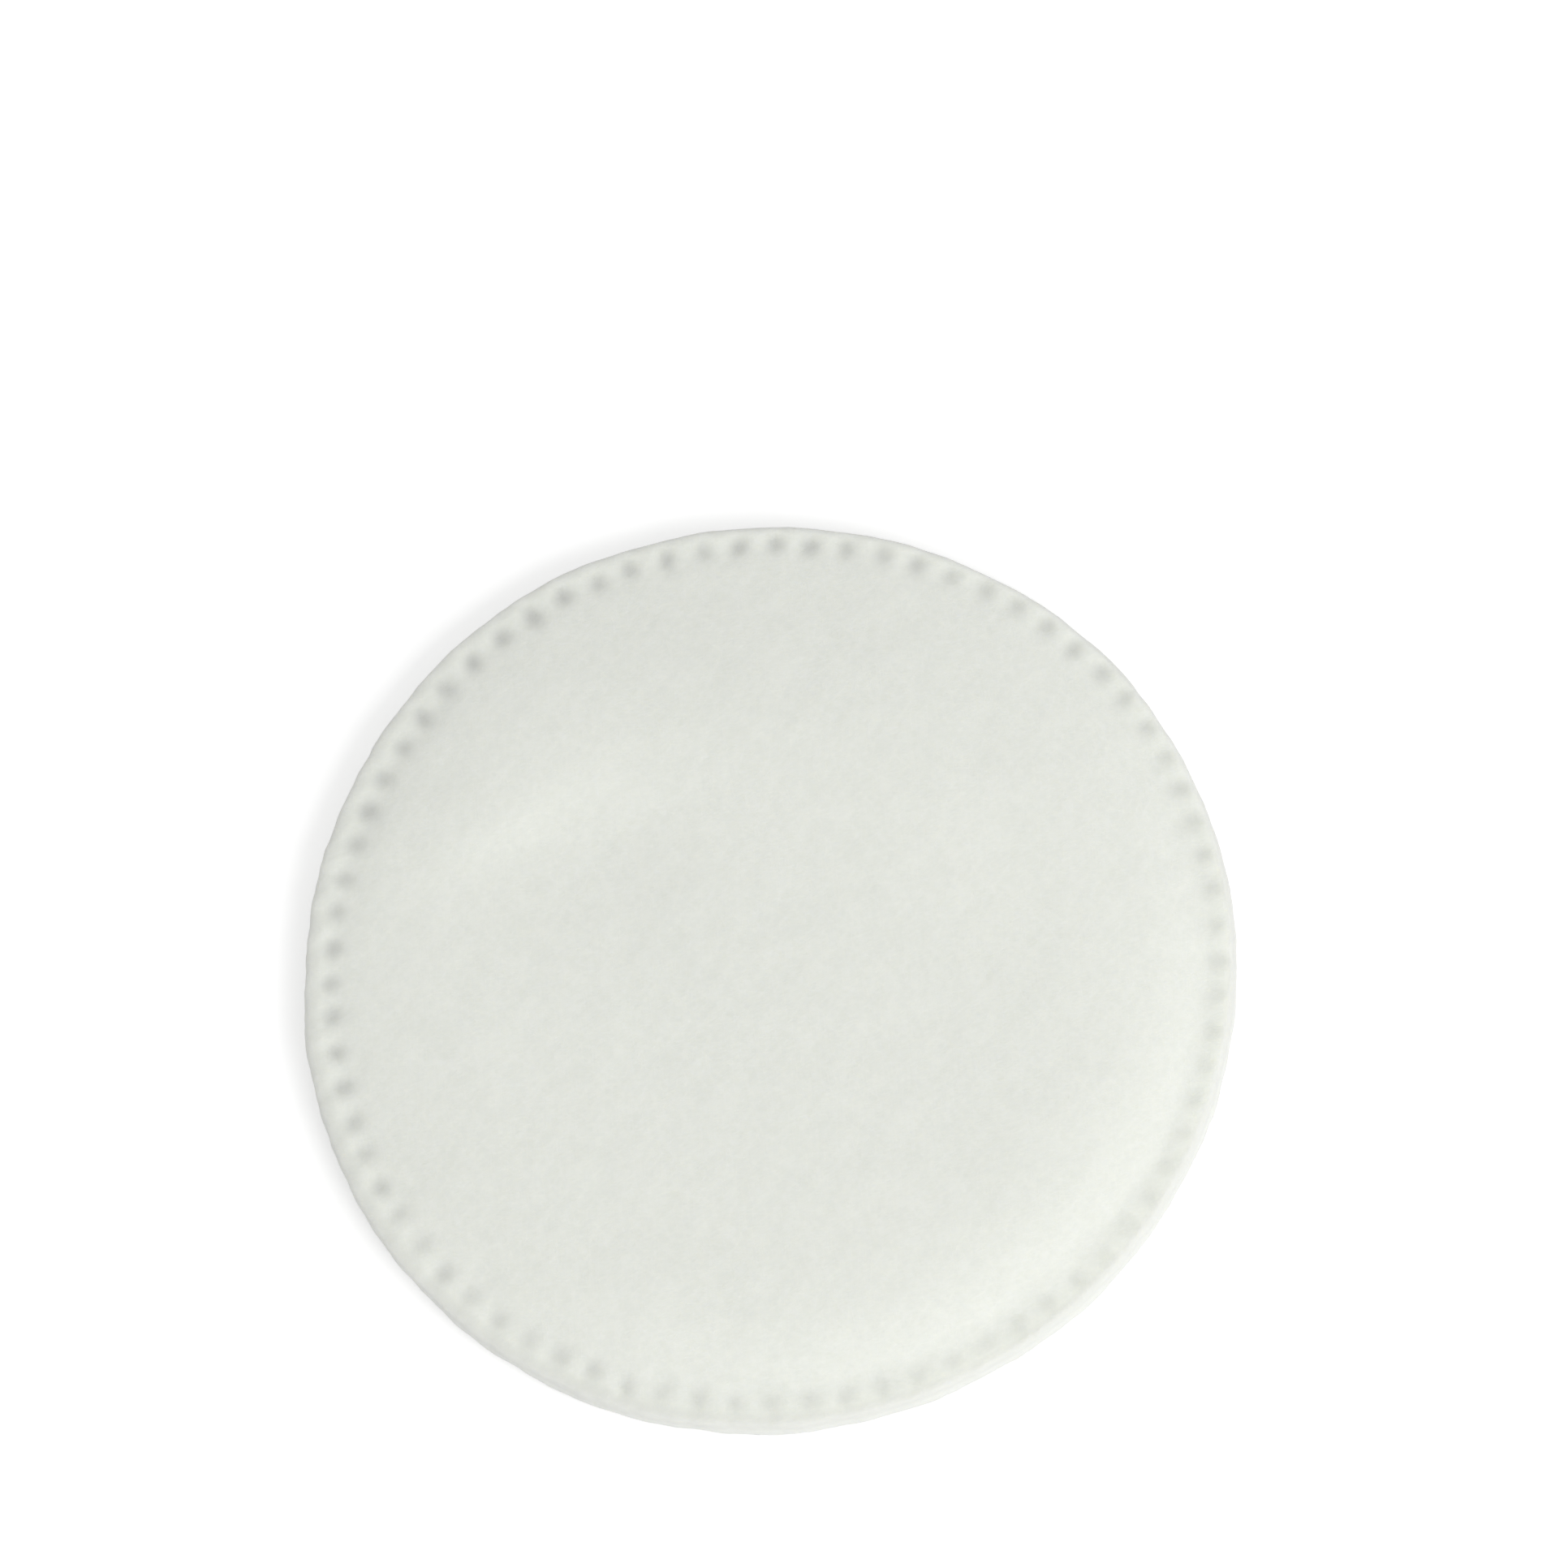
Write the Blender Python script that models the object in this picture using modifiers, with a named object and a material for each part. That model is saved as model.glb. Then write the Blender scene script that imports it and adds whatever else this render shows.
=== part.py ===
"""A round cotton pad for the face, lying flat: one disc of cotton fibre with a soft crown, a ring of pressed pits
just inside its edge and a rounded lip outside them. It is one piece.

Metres, +Z up. The pad's axis is on Z, and the flat of its underside is on z = 0.
"""

from math import cos, pi, sin, tau

import bmesh
import bpy
from mathutils import Matrix, Vector

# Outline and lip, from the edge inwards
PAD_DIAMETER = 0.057
LIP_ROUND = 0.00070  # from the edge in to the lip's crest
LIP_SLOPE = 0.00048  # from the crest in to the pressed land
LIP_RISE = 0.00025  # height of the crest above the land
RIM_LIFT = 0.00050  # height of the lip above the surface that the pad lies on

# Pressed ring
LAND_WIDTH = 0.00105  # the pressed band that carries the pits
PIT_BITE = 0.00022  # reach of a pit's ends past the land, into the shoulder and the lip
PIT_WIDTH = 0.00110  # along the ring
PIT_GAP = 0.00112  # land between two pits, before a whole number of them is fitted round
TOP_PIT_DEPTH = 0.00080
UNDER_PIT_DEPTH = 0.00040
WEB_THICKNESS = 0.00080  # between the floors of two facing pits
PIN_HALF_HEIGHT = 1.25  # in pit depths, so that a pit is widest at its mouth

# Crown of the upper face
SHOULDER_WIDTH = 0.0050
SHOULDER_HEIGHT = 0.00090
DOME_HEIGHT = 0.00075  # rise of the gentle dome that runs over the whole crown

# Underside
UNDER_SHOULDER_WIDTH = 0.0055

# Fineness of the mesh
DOME_RINGS = 3
SHOULDER_STEPS = 5
LIP_STEPS = 4
TOP_PIT_FACETS = (8, 4)  # round a pit and from pole to pole
UNDER_PIT_FACETS = (6, 4)
MERGE_DISTANCE = 1e-7

COTTON_COLOUR = (0.806, 0.823, 0.776, 1.0)
COTTON_ROUGHNESS = 0.95

# What follows from the sizes
LIP_CREST = PAD_DIAMETER / 2 - LIP_ROUND
LAND_OUTER = LIP_CREST - LIP_SLOPE
LAND_INNER = LAND_OUTER - LAND_WIDTH
RING_RADIUS = (LAND_OUTER + LAND_INNER) / 2
PIT_LENGTH = LAND_WIDTH + 2 * PIT_BITE
PIT_COUNT = round(tau * RING_RADIUS / (PIT_WIDTH + PIT_GAP))
UNDER_LAND = RIM_LIFT + LIP_RISE
TOP_LAND = UNDER_LAND + UNDER_PIT_DEPTH + WEB_THICKNESS + TOP_PIT_DEPTH


def clear_scene():
    for old in list(bpy.data.objects):
        bpy.data.objects.remove(old, do_unlink=True)


def new_collection(name):
    made = bpy.data.collections.new(name)
    bpy.context.scene.collection.children.link(made)
    return made


def new_object(name, bm, group):
    """An object in the collection group, made from the bmesh bm, which is freed."""
    mesh = bpy.data.meshes.new(name)
    bm.to_mesh(mesh)
    bm.free()
    made = bpy.data.objects.new(name, mesh)
    group.objects.link(made)
    return made


def cotton():
    """Matt white cotton, with the fibre's faint warm green."""
    material = bpy.data.materials.new("cotton")
    material.use_nodes = True
    material.diffuse_color = COTTON_COLOUR
    shader = material.node_tree.nodes["Principled BSDF"]
    shader.inputs["Base Color"].default_value = COTTON_COLOUR
    shader.inputs["Roughness"].default_value = COTTON_ROUGHNESS
    shader.inputs["Metallic"].default_value = 0.0
    return material


def shoulder(width, height):
    """Points (inset, rise) down a quarter of an ellipse, from its level top to its foot at inset 0."""
    angles = [pi / 2 * (1 - k / SHOULDER_STEPS) for k in range(SHOULDER_STEPS + 1)]
    return [(width * (1 - cos(a)), height * sin(a)) for a in angles]


def dome(radius):
    return DOME_HEIGHT * (1 - (radius / LAND_INNER) ** 2)


def crown_points():
    """From the axis out to the pressed land of the upper face."""
    plateau = LAND_INNER - SHOULDER_WIDTH
    middle = [(plateau * k / DOME_RINGS, SHOULDER_HEIGHT) for k in range(DOME_RINGS)]
    fall = [(LAND_INNER - inset, rise) for inset, rise in shoulder(SHOULDER_WIDTH, SHOULDER_HEIGHT)]
    return [(r, TOP_LAND + rise + dome(r)) for r, rise in middle + fall]


def lip_points():
    """From the upper land over the lip's crest and round the edge to the lower land."""
    middle = (TOP_LAND + UNDER_LAND) / 2
    half = TOP_LAND - middle + LIP_RISE
    angles = [pi / 2 * (1 - k / LIP_STEPS) for k in range(2 * LIP_STEPS + 1)]
    edge = [(LIP_CREST + LIP_ROUND * cos(a), middle + half * sin(a)) for a in angles]
    return [(LAND_OUTER, TOP_LAND), *edge, (LAND_OUTER, UNDER_LAND)]


def underside_points():
    """From the lower land in to the flat middle and the axis."""
    swell = reversed(shoulder(UNDER_SHOULDER_WIDTH, UNDER_LAND))
    return [(LAND_INNER - inset, UNDER_LAND - drop) for inset, drop in swell] + [(0.0, 0.0)]


def half_section():
    """Half of the pad's section in the XZ plane, from the top of the axis round to its foot."""
    bm = bmesh.new()
    points = crown_points() + lip_points() + underside_points()
    vertices = [bm.verts.new((r, 0, z)) for r, z in points]
    for start, end in zip(vertices, vertices[1:]):
        bm.edges.new((start, end))
    return bm


def turn(pad):
    """Turns the section into the disc, with one facet to each pit."""
    screw = pad.modifiers.new("turn", "SCREW")
    screw.axis = "Z"
    screw.steps = PIT_COUNT
    screw.render_steps = PIT_COUNT
    screw.use_merge_vertices = True
    screw.merge_threshold = MERGE_DISTANCE
    screw.use_smooth_shade = True


def pins(land, depth, side, facets):
    """One ellipsoid for each pit of a face, sunk by depth in its land. side is 1 for the upper face, or -1."""
    half_height = PIN_HALF_HEIGHT * depth
    size = Matrix.Diagonal(Vector((PIT_LENGTH / 2, PIT_WIDTH / 2, half_height, 1)))
    out = Matrix.Translation((RING_RADIUS, 0, land + side * (half_height - depth)))
    bm = bmesh.new()
    for k in range(PIT_COUNT):
        place = Matrix.Rotation(tau * (k + 0.5) / PIT_COUNT, 4, "Z") @ out @ size
        bmesh.ops.create_uvsphere(
            bm, u_segments=facets[0], v_segments=facets[1], radius=1, matrix=place
        )
    return bm


def press(pad, name, pressing, group):
    """Cuts the shapes in the bmesh pressing out of the pad."""
    cutter = new_object(name, pressing, group)
    cutter.hide_render = True
    cutter.display_type = "WIRE"
    cut = pad.modifiers.new(name, "BOOLEAN")
    cut.operation = "DIFFERENCE"
    cut.solver = "EXACT"
    cut.object = cutter


def make_pad():
    pad = new_object("cotton_pad", half_section(), new_collection("cotton_pad"))
    pad.data.materials.append(cotton())
    turn(pad)
    cutters = new_collection("cutters")
    press(pad, "top_pins", pins(TOP_LAND, TOP_PIT_DEPTH, 1, TOP_PIT_FACETS), cutters)
    press(pad, "under_pins", pins(UNDER_LAND, UNDER_PIT_DEPTH, -1, UNDER_PIT_FACETS), cutters)


clear_scene()
make_pad()
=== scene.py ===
# %% [markdown]
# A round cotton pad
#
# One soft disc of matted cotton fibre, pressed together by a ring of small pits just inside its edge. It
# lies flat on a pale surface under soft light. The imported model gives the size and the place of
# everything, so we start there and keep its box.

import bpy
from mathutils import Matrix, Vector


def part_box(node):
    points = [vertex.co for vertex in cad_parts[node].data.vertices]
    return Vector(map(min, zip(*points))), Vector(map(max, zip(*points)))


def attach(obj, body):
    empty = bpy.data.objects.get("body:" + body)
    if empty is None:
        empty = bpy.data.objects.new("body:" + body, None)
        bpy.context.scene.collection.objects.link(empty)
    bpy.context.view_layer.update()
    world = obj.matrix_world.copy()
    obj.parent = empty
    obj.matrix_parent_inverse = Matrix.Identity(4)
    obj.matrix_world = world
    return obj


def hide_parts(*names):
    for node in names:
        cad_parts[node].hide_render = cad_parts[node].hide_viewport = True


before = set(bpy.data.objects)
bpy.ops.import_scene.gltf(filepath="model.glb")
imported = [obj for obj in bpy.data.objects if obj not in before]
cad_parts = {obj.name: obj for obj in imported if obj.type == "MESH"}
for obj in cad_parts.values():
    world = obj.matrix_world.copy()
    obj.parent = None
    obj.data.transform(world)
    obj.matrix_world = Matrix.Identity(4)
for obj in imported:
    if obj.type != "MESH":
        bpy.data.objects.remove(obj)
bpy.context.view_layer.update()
low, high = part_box("cotton_pad")
print("packed pad", [round(1000 * side, 2) for side in high - low], "mm")

# %% Modules
from math import cos, pi, radians, sin, tau

import bmesh
import bpy
import numpy as np
from mathutils import Matrix, Vector, noise

# %% [markdown]
# Sizes
#
# Everything is in metres. The radius comes from the frame, and there are 76 pits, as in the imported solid.
# The rest is the softer form that the photograph shows, where the fibre between the pits has sprung back
# almost level with the narrow lip outside them. The frame's height only aims the camera, because this
# crown rises higher on one side.

# %% Sizes
MM = 0.001
PAD_RADIUS = (high.x - low.x) / 2
PAD_HEIGHT = high.z - low.z
PIT_COUNT = 76
PITCH = tau / PIT_COUNT
LAND_OUTER = PAD_RADIUS - 0.80 * MM
LAND_INNER = LAND_OUTER - 1.00 * MM
RING_RADIUS = (LAND_OUTER + LAND_INNER) / 2
LIP_TOP = 3.00 * MM
LIP_FOOT = 0.50 * MM
LIP_SLOPE = 0.13
MIDDLE = (LIP_TOP + LIP_FOOT) / 2
print("ring of pits", round(RING_RADIUS / MM, 2), "mm out, pitch", round(PITCH * RING_RADIUS / MM, 2), "mm")

# %% [markdown]
# The camera
#
# The photograph looks steeply down on the pad, from 72.5 degrees above its plane and through a long lens.
# Its near side points down and a little to the right in the picture, so the camera is rolled by 22
# degrees. The pad lies below the middle of the picture: instead of shifting the lens, we turn the camera
# a little, by the angle between the picture's middle and the pixel where the pad's centre belongs.

# %% Camera
PICTURE = 1932
PAD_PIXEL = (946, 1201)
PIXELS_PER_METRE = 20265
CAMERA_DISTANCE = 0.80
ELEVATION = radians(72.5)
ROLL = radians(-22)
SENSOR = 0.036


def add_camera():
    focal_pixels = PIXELS_PER_METRE * CAMERA_DISTANCE
    data = bpy.data.cameras.new("camera")
    data.sensor_width = 1000 * SENSOR
    data.lens = 1000 * SENSOR * focal_pixels / PICTURE
    centre = Vector((0, 0, PAD_HEIGHT / 2))
    back = Vector((0, -cos(ELEVATION), sin(ELEVATION)))
    right, down = (PAD_PIXEL[0] - PICTURE / 2, PAD_PIXEL[1] - PICTURE / 2)
    to_pixel = Vector((right, -down, -focal_pixels))
    turn = (-back).to_track_quat("-Z", "Y").to_matrix() @ Matrix.Rotation(ROLL, 3, "Z")
    aim = to_pixel.rotation_difference(Vector((0, 0, -1))).to_matrix()
    camera = bpy.data.objects.new("camera", data)
    camera.matrix_world = Matrix.Translation(centre + CAMERA_DISTANCE * back) @ (turn @ aim).to_4x4()
    bpy.context.scene.collection.objects.link(camera)
    bpy.context.scene.camera = camera
    return camera


camera = add_camera()
print("lens", round(camera.data.lens, 1), "mm")

# %% [markdown]
# The pad's section
#
# A real pad is cut from a web of loose fibre about 4 mm thick, and pins press a ring through it. So its
# section has a soft crown, a pressed land that carries the pits, and a lip that springs back outside
# them. It could be turned with a Screw modifier, but we want rows of points that grow coarser towards the
# middle, so that cloth can be simulated on even faces. So we describe the two faces by the height at each
# radius.

# %% Height of both faces
SHOULDER_WIDTH = 9.0 * MM
SHOULDER_HEIGHT = 1.00 * MM
SHOULDER_POWER = 2.8
UNDER_SHOULDER_WIDTH = 5.5 * MM
DOME_HEIGHT = 0.10 * MM


def shoulder(inset, width):
    """From 0 at the shoulder's foot, where it is steepest, to 1 where it is level."""
    return 1 - (1 - np.clip(inset / width, 0, 1)) ** SHOULDER_POWER


def upper_height(radius):
    """Height of the dome and its shoulder, then of the land and the lip, which fall outwards."""
    dome = DOME_HEIGHT * np.clip(1 - (radius / LAND_INNER) ** 2, 0, 1)
    fall = LIP_SLOPE * np.maximum(radius - LAND_INNER, 0)
    return LIP_TOP + SHOULDER_HEIGHT * shoulder(LAND_INNER - radius, SHOULDER_WIDTH) + dome - fall


def lower_height(radius):
    return LIP_FOOT * (1 - shoulder(LAND_INNER - radius, UNDER_SHOULDER_WIDTH))


print("middle of the crown", round(float(upper_height(0.0)) / MM, 2), "mm")

# %% [markdown]
# Rows of points
#
# Each row is a circle of points at one radius. There are six points to a pit in the outer rows, so one of
# them falls on each pit's centre, and there are fewer on the way in, so that the faces stay about square.
# Where a row has half or a third of its neighbour's points, triangles join them.

# %% Rows
POINTS_PER_PIT = 6
OUTER_POINTS = POINTS_PER_PIT * PIT_COUNT
# from a radius outwards, how many times fewer points a row has than the outer rows
CROWN_PARTS = ((22 * MM, 1), (12 * MM, 2), (6 * MM, 4), (3 * MM, 8), (0, 24))
UNDER_PARTS = ((25 * MM, 1), (14 * MM, 2), (7 * MM, 4), (3.5 * MM, 8), (0, 24))
EDGE_ROWS = 6
EDGE_SQUARENESS = 5
CROWN_STRETCHES = (
    # from and to a radius, and the step between rows, in millimetres
    (0.7, 22, 0.6),
    (22, 25, 0.5),
    (25, LAND_OUTER / MM, 0.3),
)
UNDER_STRETCHES = (
    (LAND_OUTER / MM, 25, 0.45),
    (25, 20, 0.8),
    (20, 0.5, 1.5),
)


def points_at(radius, parts):
    return next(OUTER_POINTS // part for reach, part in parts if radius >= reach)


def radii(stretches):
    """Radii in even steps over all the stretches, of which each leaves out its end."""
    return MM * np.concatenate([
        np.linspace(a, b, max(1, round(abs(b - a) / step)), endpoint=False) for a, b, step in stretches
    ])


def edge_points():
    """(radius, height) over the lip and round the edge, on an arc that is nearly square."""
    turns = pi / 2 * (1 - np.arange(2 * EDGE_ROWS + 1) / EDGE_ROWS)
    power = 2 / EDGE_SQUARENESS
    radius = LAND_OUTER + (PAD_RADIUS - LAND_OUTER) * np.abs(np.cos(turns)) ** power
    level = np.where(turns > 0, upper_height(radius), LIP_FOOT)
    return zip(radius, MIDDLE + (level - MIDDLE) * np.abs(np.sin(turns)) ** power)


def rows():
    """(radius, height, number of points) of each row, from the crown's middle to the underside's."""
    return (
        [(r, upper_height(r), points_at(r, CROWN_PARTS)) for r in radii(CROWN_STRETCHES)]
        + [(r, z, OUTER_POINTS) for r, z in edge_points()]
        + [(r, lower_height(r), points_at(r, UNDER_PARTS)) for r in radii(UNDER_STRETCHES)[1:]]
    )


print(len(rows()), "rows")


# %% Join the rows
def join_rows(bm, first, second):
    """Faces between two rows of points, where one row may have a half or a third of the other's points."""
    fine, coarse = (first, second) if len(first) >= len(second) else (second, first)
    step = len(fine) // len(coarse)
    half = step // 2
    for k, near in enumerate(coarse):
        after = coarse[(k + 1) % len(coarse)]
        outer = [fine[(step * k + j) % len(fine)] for j in range(step + 1)]
        bm.faces.new((*outer[half:step - half + 1], after, near))
        for j in range(half):
            bm.faces.new((outer[j], outer[j + 1], near))
            bm.faces.new((outer[step - 1 - j], outer[step - j], after))


def disc_mesh():
    bm = bmesh.new()
    made = []
    for radius, height, count in rows():
        angles = tau * np.arange(count) / count
        made.append([bm.verts.new((radius * cos(a), radius * sin(a), height)) for a in angles])
    for first, second in zip(made, made[1:]):
        join_rows(bm, first, second)
    for ring, height in ((made[0], upper_height(0.0)), (made[-1], 0.0)):
        hub = bm.verts.new((0, 0, height))
        for k, point in enumerate(ring):
            bm.faces.new((point, ring[(k + 1) % len(ring)], hub))
    bmesh.ops.recalc_face_normals(bm, faces=bm.faces)
    mesh = bpy.data.meshes.new("pad")
    bm.to_mesh(mesh)
    bm.free()
    return mesh


pad = bpy.data.objects.new("pad", disc_mesh())
bpy.context.scene.collection.objects.link(pad)
print(len(pad.data.vertices), "points and", len(pad.data.polygons), "faces before swelling")


# %% [markdown]
# Read and write all the points at once
#
# The next steps move every point by a rule. Arrays make that quick: one call reads all the places into a
# table with three columns, and one writes them back.

# %% Points as arrays
def points_of(mesh):
    flat = np.empty(3 * len(mesh.vertices))
    mesh.vertices.foreach_get("co", flat)
    return flat.reshape(-1, 3)


def move_points(mesh, places):
    mesh.vertices.foreach_set("co", places.ravel())
    mesh.update()


def polar(places):
    """Each point's radius and its angle from 0 to a full turn."""
    return np.hypot(places[:, 0], places[:, 1]), np.arctan2(places[:, 1], places[:, 0]) % tau


# %% [markdown]
# An uneven crown
#
# No pad is evenly thick. This one is fuller at the front right, where its shoulder is steep, and thin at
# the far left, where it runs out almost flat. A broad ridge crosses the far half, with two narrow ones
# along it and a hollow in front of it, and a low ridge crosses the far right. All of them fade out at the
# pressed ring, which stays level.

# %% Crown
FULL_AZIMUTH = radians(22)
FULL_SIDE = Vector((sin(FULL_AZIMUTH), -cos(FULL_AZIMUTH)))
FULLER = 0.74 * MM
RIDGES = (
    # middle x, y, height, half length, half width, turned by degrees
    (-7.0, 18.0, 1.00, 20.0, 8.0, -29),
    (-7.5, 14.0, -1.15, 9.5, 6.3, -28),
    (11.5, 8.0, 0.65, 12.5, 6.0, -64),
    (-10.5, 16.0, 0.55, 12.0, 3.7, -6),
    (-13.5, 14.6, 0.16, 5.5, 1.6, 8),
)


def ridge(places, x, y, height, half_length, half_width, degrees):
    """Height of a long smooth swelling, whose sizes are in millimetres."""
    turn = radians(degrees)
    aside, ahead = places[:, 0] / MM - x, places[:, 1] / MM - y
    along = (aside * cos(turn) + ahead * sin(turn)) / half_length
    across = (ahead * cos(turn) - aside * sin(turn)) / half_width
    return height * MM * np.exp(-along ** 2 - across ** 2)


def shape_crown(piece):
    places = points_of(piece.data)
    radius, _ = polar(places)
    lean = FULLER * (places[:, 0] * FULL_SIDE.x + places[:, 1] * FULL_SIDE.y) / LAND_INNER
    lift = lean + sum(ridge(places, *sizes) for sizes in RIDGES)
    lift *= shoulder(LAND_INNER - radius, SHOULDER_WIDTH)
    places[:, 2] += np.where(places[:, 2] > MIDDLE, lift, 0)
    move_points(piece.data, places)
    print("crown shifted by", round(lift.min() / MM, 2), "to", round(lift.max() / MM, 2), "mm")


shape_crown(pad)


# %% [markdown]
# Pits
#
# Each pin presses the fibre down in a soft oval dent, longer towards the pad's middle than along the
# ring. No two are quite alike in the photograph, so each gets its own small shift, turn, size and depth
# from a seeded random generator, and they are shallower on the pad's full side. The dents are made twice:
# wide and coarse before the cotton swells round them, and again as a small deeper core once the faces are
# fine.

# %% Pits
PLACE_SPREAD = 0.06 * MM
TURN_SPREAD = radians(15)
SIZE_RANGE = (0.88, 1.12)
DEPTH_RANGE = (0.75, 1.25)
SHALLOWER = 0.5


class Pits:
    """The place, size and depth of every pit."""

    def __init__(self, seed):
        chance = np.random.default_rng(seed)
        self.out, self.along = chance.normal(0, PLACE_SPREAD, (2, PIT_COUNT))
        self.turned = chance.normal(0, TURN_SPREAD, PIT_COUNT)
        self.long, self.wide = chance.uniform(*SIZE_RANGE, (2, PIT_COUNT))
        middles = PITCH * (np.arange(PIT_COUNT) + 0.5)
        fuller = np.cos(middles) * FULL_SIDE.x + np.sin(middles) * FULL_SIDE.y
        self.deep = chance.uniform(*DEPTH_RANGE, PIT_COUNT) * (1 - SHALLOWER * fuller)

    def share(self, places, length, width, power):
        """How far down in its pit each point lies, from 0 to about 1, or more in a deep pit."""
        radius, angle = polar(places)
        pit = (angle / PITCH).astype(int) % PIT_COUNT
        beside = radius * (angle - PITCH * (pit + 0.5)) - self.along[pit]
        beyond = radius - RING_RADIUS - self.out[pit]
        turn = self.turned[pit]
        over = (beyond * np.cos(turn) + beside * np.sin(turn)) / (length / 2 * self.long[pit])
        across = (beside * np.cos(turn) - beyond * np.sin(turn)) / (width / 2 * self.wide[pit])
        return np.exp(-np.hypot(over, across) ** power) * self.deep[pit]


def press(piece, share, top_depth, under_depth):
    places = points_of(piece.data)
    top = places[:, 2] > MIDDLE
    places[:, 2] += share * np.where(top, -top_depth, under_depth)
    move_points(piece.data, places)


# %% Wide dents
DENT_LENGTH = 1.8 * MM
DENT_WIDTH = 1.6 * MM
DENT_POWER = 2
DENT_DEPTH = 0.06 * MM

pits = Pits(seed=76)
press(pad, pits.share(points_of(pad.data), DENT_LENGTH, DENT_WIDTH, DENT_POWER), DENT_DEPTH, DENT_DEPTH)
print(PIT_COUNT, "dents on each face")

# %% [markdown]
# Swell the cotton
#
# The fibre springs back everywhere but in the pits, and it puckers between them. That is what a cloth
# simulation under pressure gives: the points at the pits and the flat underside are held, and air pushes
# the rest outwards. Cloth settings suit things the size of clothes, so the pad is simulated ten times as
# large. The crown has its shape already, so we keep only the puckers near the ring, and no point may move
# further than real cotton springs back.

# %% Swell
CLOTH_SCALE = 10
SWELL_FRAMES = 20
MOST_SWELL = 0.12 * MM
PUCKER_REACH = 3.0 * MM
PRESSURE = 2.5
BENDING = 10
CLOTH_QUALITY = 6
HELD_LENGTH = 0.6 * MM
HELD_WIDTH = 0.2 * MM


def held_points(places):
    """Points at the pits' centres, on both faces, and the flat part of the underside."""
    radius, angle = polar(places)
    across = np.abs((angle / PITCH) % 1 - 0.5) * PITCH * radius
    at_pit = (np.abs(radius - RING_RADIUS) < HELD_LENGTH / 2) & (across < HELD_WIDTH / 2)
    flat = (places[:, 2] < MIDDLE) & (radius < LAND_INNER - UNDER_SHOULDER_WIDTH)
    return np.flatnonzero(at_pit | flat)


def add_cloth(piece):
    cloth = piece.modifiers.new("swell", "CLOTH")
    cloth.settings.quality = CLOTH_QUALITY
    cloth.settings.use_pressure = True
    cloth.settings.uniform_pressure_force = PRESSURE
    cloth.settings.bending_stiffness = BENDING
    cloth.settings.effector_weights.gravity = 0
    cloth.settings.vertex_group_mass = "held"
    cloth.collision_settings.use_collision = False
    cloth.point_cache.frame_start = 1
    cloth.point_cache.frame_end = SWELL_FRAMES


def swell(piece):
    start = points_of(piece.data)
    group = piece.vertex_groups.new(name="held")
    group.add(held_points(start).tolist(), 1.0, "REPLACE")
    move_points(piece.data, CLOTH_SCALE * start)
    add_cloth(piece)
    for number in range(1, SWELL_FRAMES + 1):
        bpy.context.scene.frame_set(number)
    swollen = points_of(piece.evaluated_get(bpy.context.evaluated_depsgraph_get()).data) / CLOTH_SCALE
    piece.modifiers.clear()
    piece.vertex_groups.clear()
    bpy.context.scene.frame_set(1)
    moves = swollen - start
    far = np.linalg.norm(moves, axis=1)
    near_ring = np.clip((polar(start)[0] - LAND_INNER) / PUCKER_REACH + 1, 0, 1)
    moves *= (near_ring * np.minimum(far, MOST_SWELL) / np.maximum(far, 1e-9))[:, None]
    places = start + moves
    places[:, 2] = np.maximum(places[:, 2], 0)
    move_points(piece.data, places)
    print("swelled by up to", round(far.max() / MM, 2), "mm, on average", round(far.mean() / MM, 3), "mm")


swell(pad)


# %% [markdown]
# Finer faces
#
# One level of subdivision rounds off the rows, and gives enough points for the pits' cores and the small
# lumps of the fibre.

# %% Subdivide
def subdivide(piece):
    smooth = piece.modifiers.new("finer", "SUBSURF")
    smooth.levels = smooth.render_levels = 1
    finer = bpy.data.meshes.new_from_object(piece.evaluated_get(bpy.context.evaluated_depsgraph_get()))
    piece.modifiers.clear()
    piece.data = finer
    finer.shade_smooth()


subdivide(pad)
print(2 * len(pad.data.polygons), "triangles after subdivision")

# %% [markdown]
# Cores of the pits
#
# Now the small deep part of each pit. A share of painted shade is also kept on the mesh at each point, in
# the pits and on the lip, most of all at the upper corner of the cut edge. In the pits it is partly the
# pressed fibre's darker tone and partly painted shade; on the lip it is painted shade only.

# %% Cores
CORE_LENGTH = 1.40 * MM
CORE_WIDTH = 1.20 * MM
CORE_POWER = 2.2
TOP_CORE_DEPTH = 0.14 * MM
UNDER_CORE_DEPTH = 0.22 * MM
# how much painted shade the pits and the lip's upper corner get; in the pits it is also the pressed fibre's
# darker tone
PIT_TONE_AND_SHADE = 0.45
EDGE_PAINTED_SHADE = 1.0


def press_cores(piece):
    places = points_of(piece.data)
    share = pits.share(places, CORE_LENGTH, CORE_WIDTH, CORE_POWER)
    press(piece, share, TOP_CORE_DEPTH, UNDER_CORE_DEPTH)
    # painted shade over the lip, strongest at the upper corner of the cut edge
    edge = np.clip((polar(places)[0] - LAND_OUTER) / (PAD_RADIUS - LAND_OUTER), 0, 1)
    edge *= np.clip((places[:, 2] - MIDDLE) / (LIP_TOP - MIDDLE), 0, 1)
    painted_shade_and_pressed_tone = piece.data.attributes.new("painted_shade_and_pressed_tone", "FLOAT", "POINT")
    painted_shade_and_pressed_tone.data.foreach_set("value", np.clip(np.maximum(PIT_TONE_AND_SHADE * share, EDGE_PAINTED_SHADE * edge), 0, 1))
    print(round((share > 0.5).mean() * 100, 1), "% of the points are in a pit's core")


press_cores(pad)

# %% [markdown]
# Soft lumps
#
# The web of fibre is never even: its surface is full of small lumps where fibre gathers. Noise at three
# sizes moves each point along its normal, and further on the edge, where the web was cut.

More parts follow.
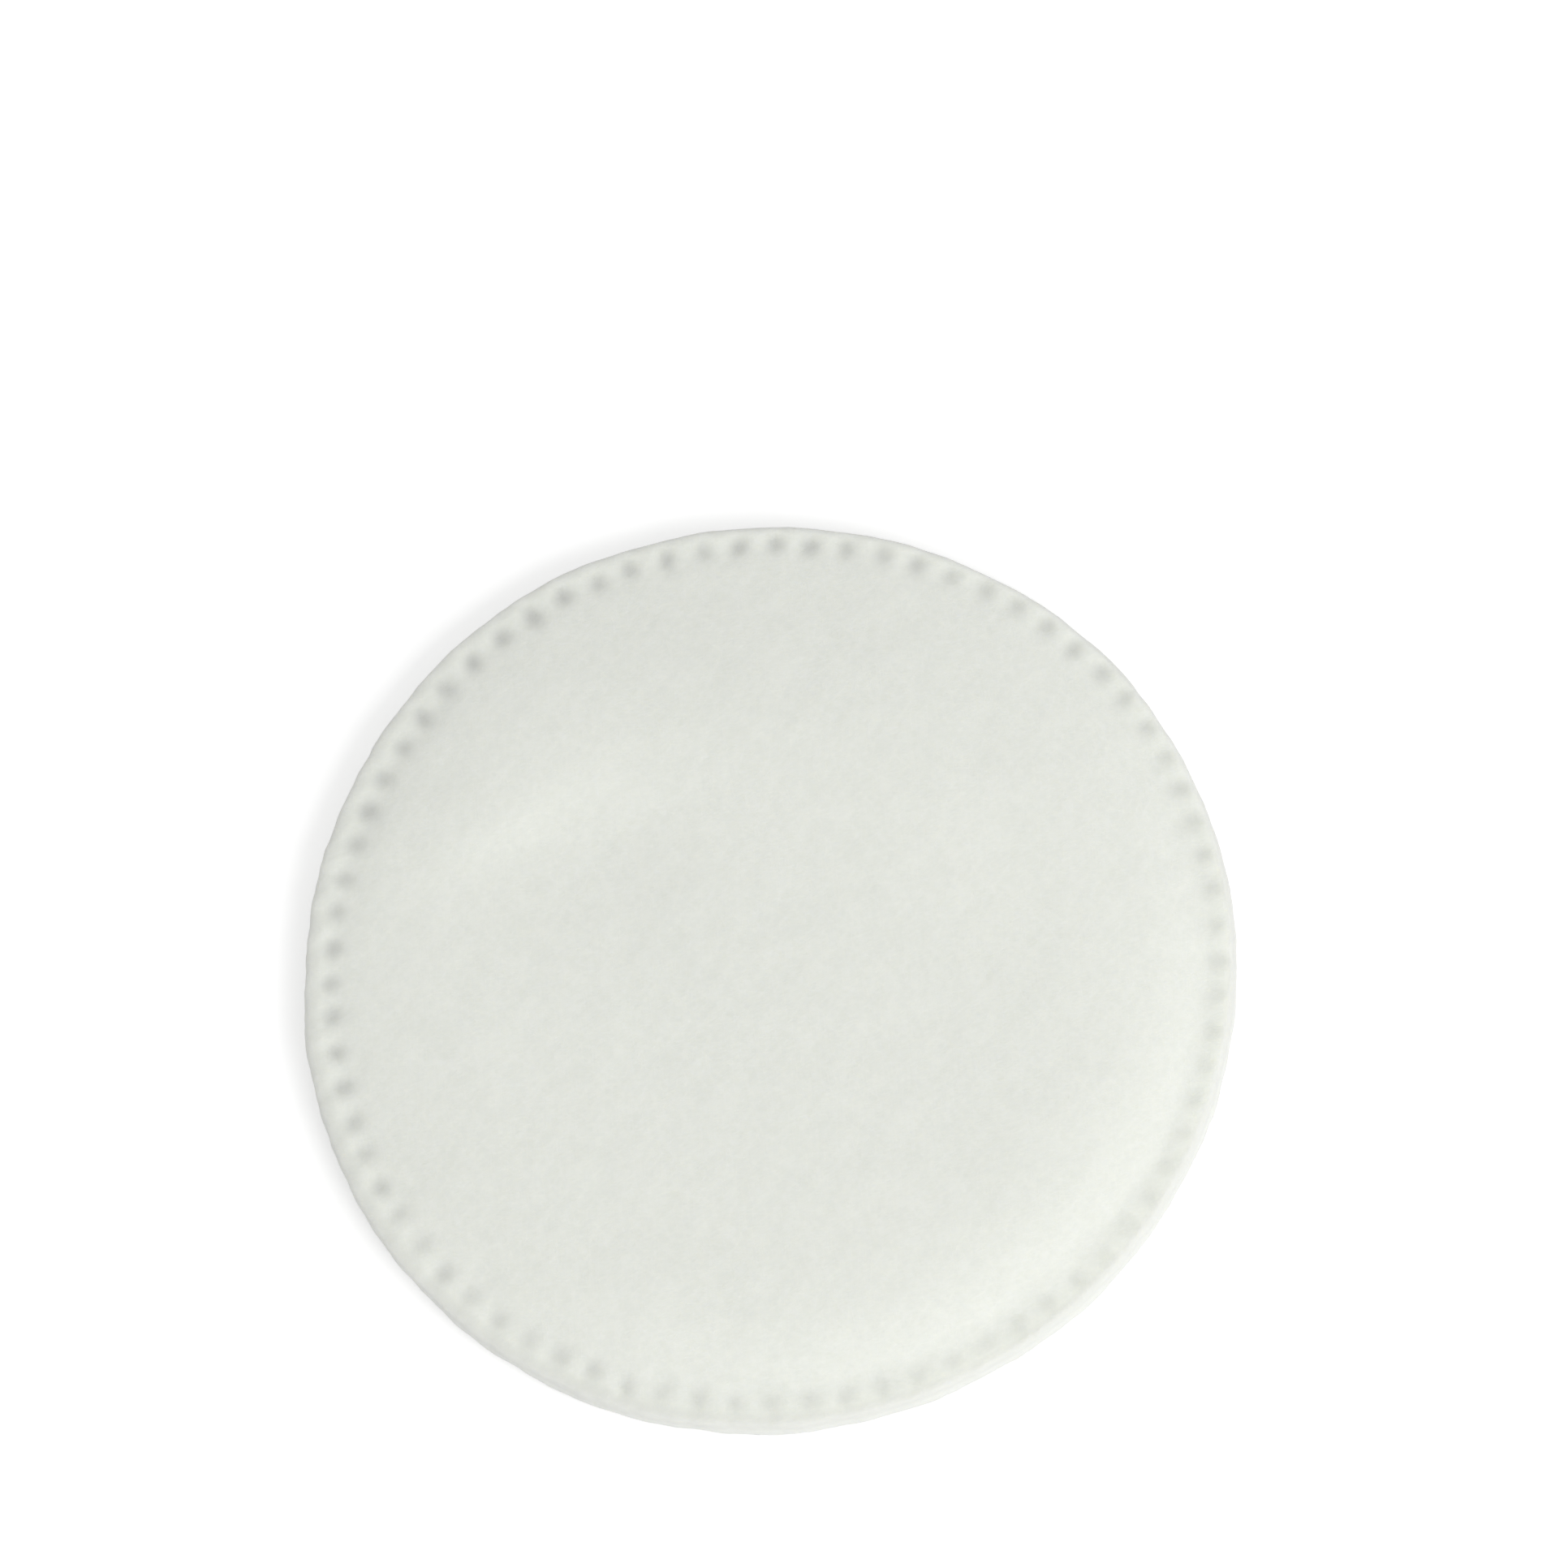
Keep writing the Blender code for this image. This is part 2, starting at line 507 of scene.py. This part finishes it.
# %% Lumps
LUMPS = (
    # size and height
    (6.0 * MM, 0.060 * MM),
    (1.8 * MM, 0.038 * MM),
    (0.7 * MM, 0.016 * MM),
)
LUMPS_START = Vector((0, 0, 9))
ROUGH_EDGE = 1.5


def lumps(place):
    return sum(height * noise.noise(place / size + LUMPS_START) for size, height in LUMPS)


def raise_lumps(piece):
    places = points_of(piece.data)
    heights = np.array([lumps(Vector(place)) for place in places])
    radius, _ = polar(places)
    heights *= 1 + ROUGH_EDGE * np.clip((radius - LAND_OUTER) / (PAD_RADIUS - LAND_OUTER), 0, 1)
    heights *= np.clip(places[:, 2] / LIP_FOOT, 0, 1)
    normals = np.array([vertex.normal for vertex in piece.data.vertices])
    places += normals * heights[:, None]
    places[:, 2] = np.maximum(places[:, 2], 0)
    move_points(piece.data, places)
    print("lumps from", round(heights.min() / MM, 3), "to", round(heights.max() / MM, 3), "mm")


raise_lumps(pad)

# %% [markdown]
# Not quite round, and off centre
#
# The pins never strike quite in the middle of the pad that is cut out later. Everything inside the lip
# moves a little to one side, so that the lip is wider on the other. A soft pad doesn't stay quite round
# either: the far side of this one is pulled out a little, less and less towards the middle.

# %% Off centre
OFF_CENTRE = 0.35 * MM
BULGE = 0.50 * MM
BULGE_AT = radians(107)
BULGE_HALF_WIDTH = radians(23)


def unsettle(piece):
    places = points_of(piece.data)
    radius, angle = polar(places)
    inside = np.clip((PAD_RADIUS - radius) / (PAD_RADIUS - LAND_OUTER), 0, 1)
    pull = BULGE * np.exp(-((angle - BULGE_AT) / BULGE_HALF_WIDTH) ** 2)
    places[:, :2] *= (1 + pull * radius ** 3 / PAD_RADIUS ** 4)[:, None]
    places[:, 0] += OFF_CENTRE * inside ** 2 * (3 - 2 * inside)
    move_points(piece.data, places)
    print("pulled out by up to", round(pull.max() / MM, 2), "mm")


unsettle(pad)


# %% [markdown]
# Shader maths
#
# A small class wraps a socket, so that a material can be written as sums and products. Each operator adds
# the Math node that works it out.

# %% Wire
def maths(operation, swapped=False):
    def work(self, other):
        pair = (other, self) if swapped else (self, other)
        return self.node("ShaderNodeMath", {"operation": operation}, dict(enumerate(pair)))
    return work


class Wire:
    """A socket of a material's nodes, or with no socket the start of a new material."""

    def __init__(self, tree, socket=None):
        self.tree = tree
        self.socket = socket

    __add__, __radd__ = maths("ADD"), maths("ADD", True)
    __sub__, __rsub__ = maths("SUBTRACT"), maths("SUBTRACT", True)
    __mul__, __rmul__ = maths("MULTIPLY"), maths("MULTIPLY", True)

    def node(self, kind, settings, sockets, output=0):
        """A new node: its settings, then a value or a link for each of the sockets named or numbered."""
        made = self.tree.nodes.new(kind)
        for name, value in settings.items():
            setattr(made, name, value)
        for key, value in sockets.items():
            if isinstance(value, Wire):
                self.tree.links.new(value.socket, made.inputs[key])
            else:
                made.inputs[key].default_value = value
        return Wire(self.tree, made.outputs[output] if made.outputs else None)

    def mix(self, first, second):
        """Colour first where this is 0, and second where it is 1."""
        return self.node("ShaderNodeMix", {"data_type": "RGBA"}, {0: self, 6: first, 7: second}, 2)


def new_material(name):
    material = bpy.data.materials.new(name)
    material.use_nodes = True
    material.node_tree.nodes.clear()
    return material, Wire(material.node_tree)


# %% [markdown]
# Cotton
#
# Cotton is a mat of fine wavy hairs, much finer than the pad's own faces. A smooth noise passes through
# its middle value along thin curling lines, and where the noise is stretched, those lines look like hairs
# that lie one way. Several such layers, each turned and sized in its own way, make the mat. It feeds the
# bump, and a little of it feeds the colour, with slow clouds where the web is thicker. Light also goes a
# little way into the fibre and comes out beside where it went in, which softens every small shadow: that
# is the shader's subsurface weight.

# %% Cotton
LIGHT_COTTON = (0.840, 0.855, 0.805, 1)
SHADY_COTTON = (0.785, 0.803, 0.753, 1)
# colour of the painted shade in the pits and on the lip's upper corner, in the pits also the pressed
# fibre's tone
SHADE_AND_PRESSED_COTTON = (0.670, 0.678, 0.648, 1)
HAIR_LAYERS = (
    # length and spacing in millimetres, turned by degrees, thinness
    (4.0, 0.90, 35, 8.0),
    (3.0, 0.70, 120, 8.0),
    (2.0, 0.40, 75, 10.0),
    (1.6, 0.35, 160, 10.0),
    (1.2, 0.22, 10, 9.0),
)
LIGHT_REACH = 0.9 * MM
REACH_BY_COLOUR = (1.0, 0.98, 0.9)
CLOUDS_PER_METRE = 160.0
CLOUD_SHARE = 0.5
HAIR_HEIGHT = 0.07 * MM
HAIR_STRENGTH = 0.4
ROUGHNESS = 0.95
SHEEN = 0.15


def hairs(wire, place, length, spacing, degrees, thinness):
    """1 on narrow wavy lines and 0 between them."""
    stretched = wire.node("ShaderNodeMapping", {"vector_type": "TEXTURE"}, {
        "Vector": place,
        "Rotation": (0, 0, radians(degrees)),
        "Scale": (length * MM, spacing * MM, spacing * MM),
    })
    field = wire.node("ShaderNodeTexNoise", {}, {"Vector": stretched, "Scale": 1.0, "Detail": 1.0})
    beside = wire.node("ShaderNodeMath", {"operation": "ABSOLUTE"}, {0: field - 0.5}) * thinness
    return wire.node("ShaderNodeMath", {"operation": "SUBTRACT", "use_clamp": True}, {0: 1.0, 1: beside})


def cotton():
    material, wire = new_material("cotton")
    place = wire.node("ShaderNodeTexCoord", {}, {}, "Object")
    mat = sum(hairs(wire, place, *layer) for layer in HAIR_LAYERS) * (1 / len(HAIR_LAYERS))
    clouds = wire.node("ShaderNodeTexNoise", {}, {
        "Vector": place, "Scale": CLOUDS_PER_METRE, "Detail": 3.0,
    })
    # share of painted shade in the pits and on the lip, with the pressed fibre's tone in the pits
    painted_shade_and_pressed_tone = wire.node("ShaderNodeAttribute", {"attribute_name": "painted_shade_and_pressed_tone"}, {}, "Fac")
    body = (clouds * CLOUD_SHARE + mat).mix(SHADY_COTTON, LIGHT_COTTON)
    colour = painted_shade_and_pressed_tone.mix(body, SHADE_AND_PRESSED_COTTON)
    bump = wire.node("ShaderNodeBump", {}, {
        "Strength": HAIR_STRENGTH, "Distance": HAIR_HEIGHT, "Height": mat,
    })
    shader = wire.node("ShaderNodeBsdfPrincipled", {}, {
        "Base Color": colour, "Roughness": ROUGHNESS, "Normal": bump,
        "Subsurface Weight": 1.0, "Subsurface Radius": REACH_BY_COLOUR, "Subsurface Scale": LIGHT_REACH,
        "Sheen Weight": SHEEN, "Sheen Roughness": 0.5, "Specular IOR Level": 0.2,
    })
    wire.node("ShaderNodeOutputMaterial", {}, {"Surface": shader})
    return material


pad.data.materials.clear()
pad.data.materials.append(cotton())
print(len(pad.data.materials[0].node_tree.nodes), "nodes in the cotton")

# %% [markdown]
# The floor and the white behind it
#
# The photograph has plain white round the pad. The floor is a matt pale sheet, so that it takes the pad's
# soft shadow and throws light back on its edge. Seen by the camera, it also glows a little, so that all
# but the shadow is plain white, and so is the sky beyond it. It lies a hair below the pad, because two
# surfaces in the same place would flicker where they are seen from below.

# %% Floor and sky
FLOOR_SIZE = 3.0
FLOOR_COLOUR = (0.80, 0.80, 0.80, 1)
FLOOR_GLOW = 0.40
FLOOR_GAP = 0.02 * MM
SKY_LIGHT = 0.635


def seen(wire):
    """1 for rays that show a surface: the camera's own, and those that gloss and glass send on."""
    kinds = ("Is Camera Ray", "Is Glossy Ray", "Is Transmission Ray")
    return sum(wire.node("ShaderNodeLightPath", {}, {}, kind) for kind in kinds)


def floor_material():
    material, wire = new_material("floor")
    paper = wire.node("ShaderNodeBsdfDiffuse", {}, {"Color": FLOOR_COLOUR})
    glow = wire.node("ShaderNodeEmission", {}, {"Strength": seen(wire) * FLOOR_GLOW})
    both = wire.node("ShaderNodeAddShader", {}, {0: paper, 1: glow})
    wire.node("ShaderNodeOutputMaterial", {}, {"Surface": both})
    return material


def add_floor():
    mesh = bpy.data.meshes.new("floor")
    bm = bmesh.new()
    bmesh.ops.create_grid(bm, x_segments=1, y_segments=1, size=FLOOR_SIZE / 2)
    bm.to_mesh(mesh)
    bm.free()
    floor = bpy.data.objects.new("floor", mesh)
    floor.location.z = low.z - FLOOR_GAP
    mesh.materials.append(floor_material())
    bpy.context.scene.collection.objects.link(floor)


def add_sky():
    world = bpy.data.worlds.new("sky")
    world.use_nodes = True
    world.node_tree.nodes.clear()
    wire = Wire(world.node_tree)
    strength = seen(wire) * (1 - SKY_LIGHT) + SKY_LIGHT
    sky = wire.node("ShaderNodeBackground", {}, {"Color": (1, 1, 1, 1), "Strength": strength})
    wire.node("ShaderNodeOutputWorld", {}, {"Surface": sky})
    bpy.context.scene.world = world


add_floor()
add_sky()

# %% [markdown]
# Light
#
# A large soft light at the camera's right, half way up, lifts the shoulder on that side as in the
# photograph, and the white sky fills the rest. Together they light a level surface to a little under 1,
# so colours come out about as written.

# %% Lamps
LAMPS = (
    # name, azimuth and elevation in degrees, distance, side, watts
    ("key", 27, 41, 0.80, 0.45, 3.4),
)


def add_lamp(name, azimuth, elevation, distance, side, watts):
    data = bpy.data.lights.new(name, "AREA")
    data.size = side
    data.energy = watts
    turn, rise = radians(azimuth), radians(elevation)
    out = Vector((sin(turn) * cos(rise), -cos(turn) * cos(rise), sin(rise)))
    lamp = bpy.data.objects.new(name, data)
    lamp.location = distance * out
    lamp.rotation_euler = (-out).to_track_quat("-Z", "Y").to_euler()
    bpy.context.scene.collection.objects.link(lamp)


for lamp in LAMPS:
    add_lamp(*lamp)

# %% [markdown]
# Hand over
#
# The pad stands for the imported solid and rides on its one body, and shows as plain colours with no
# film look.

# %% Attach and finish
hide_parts("cotton_pad")
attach(pad, "root")
bpy.context.scene.view_settings.view_transform = "Standard"
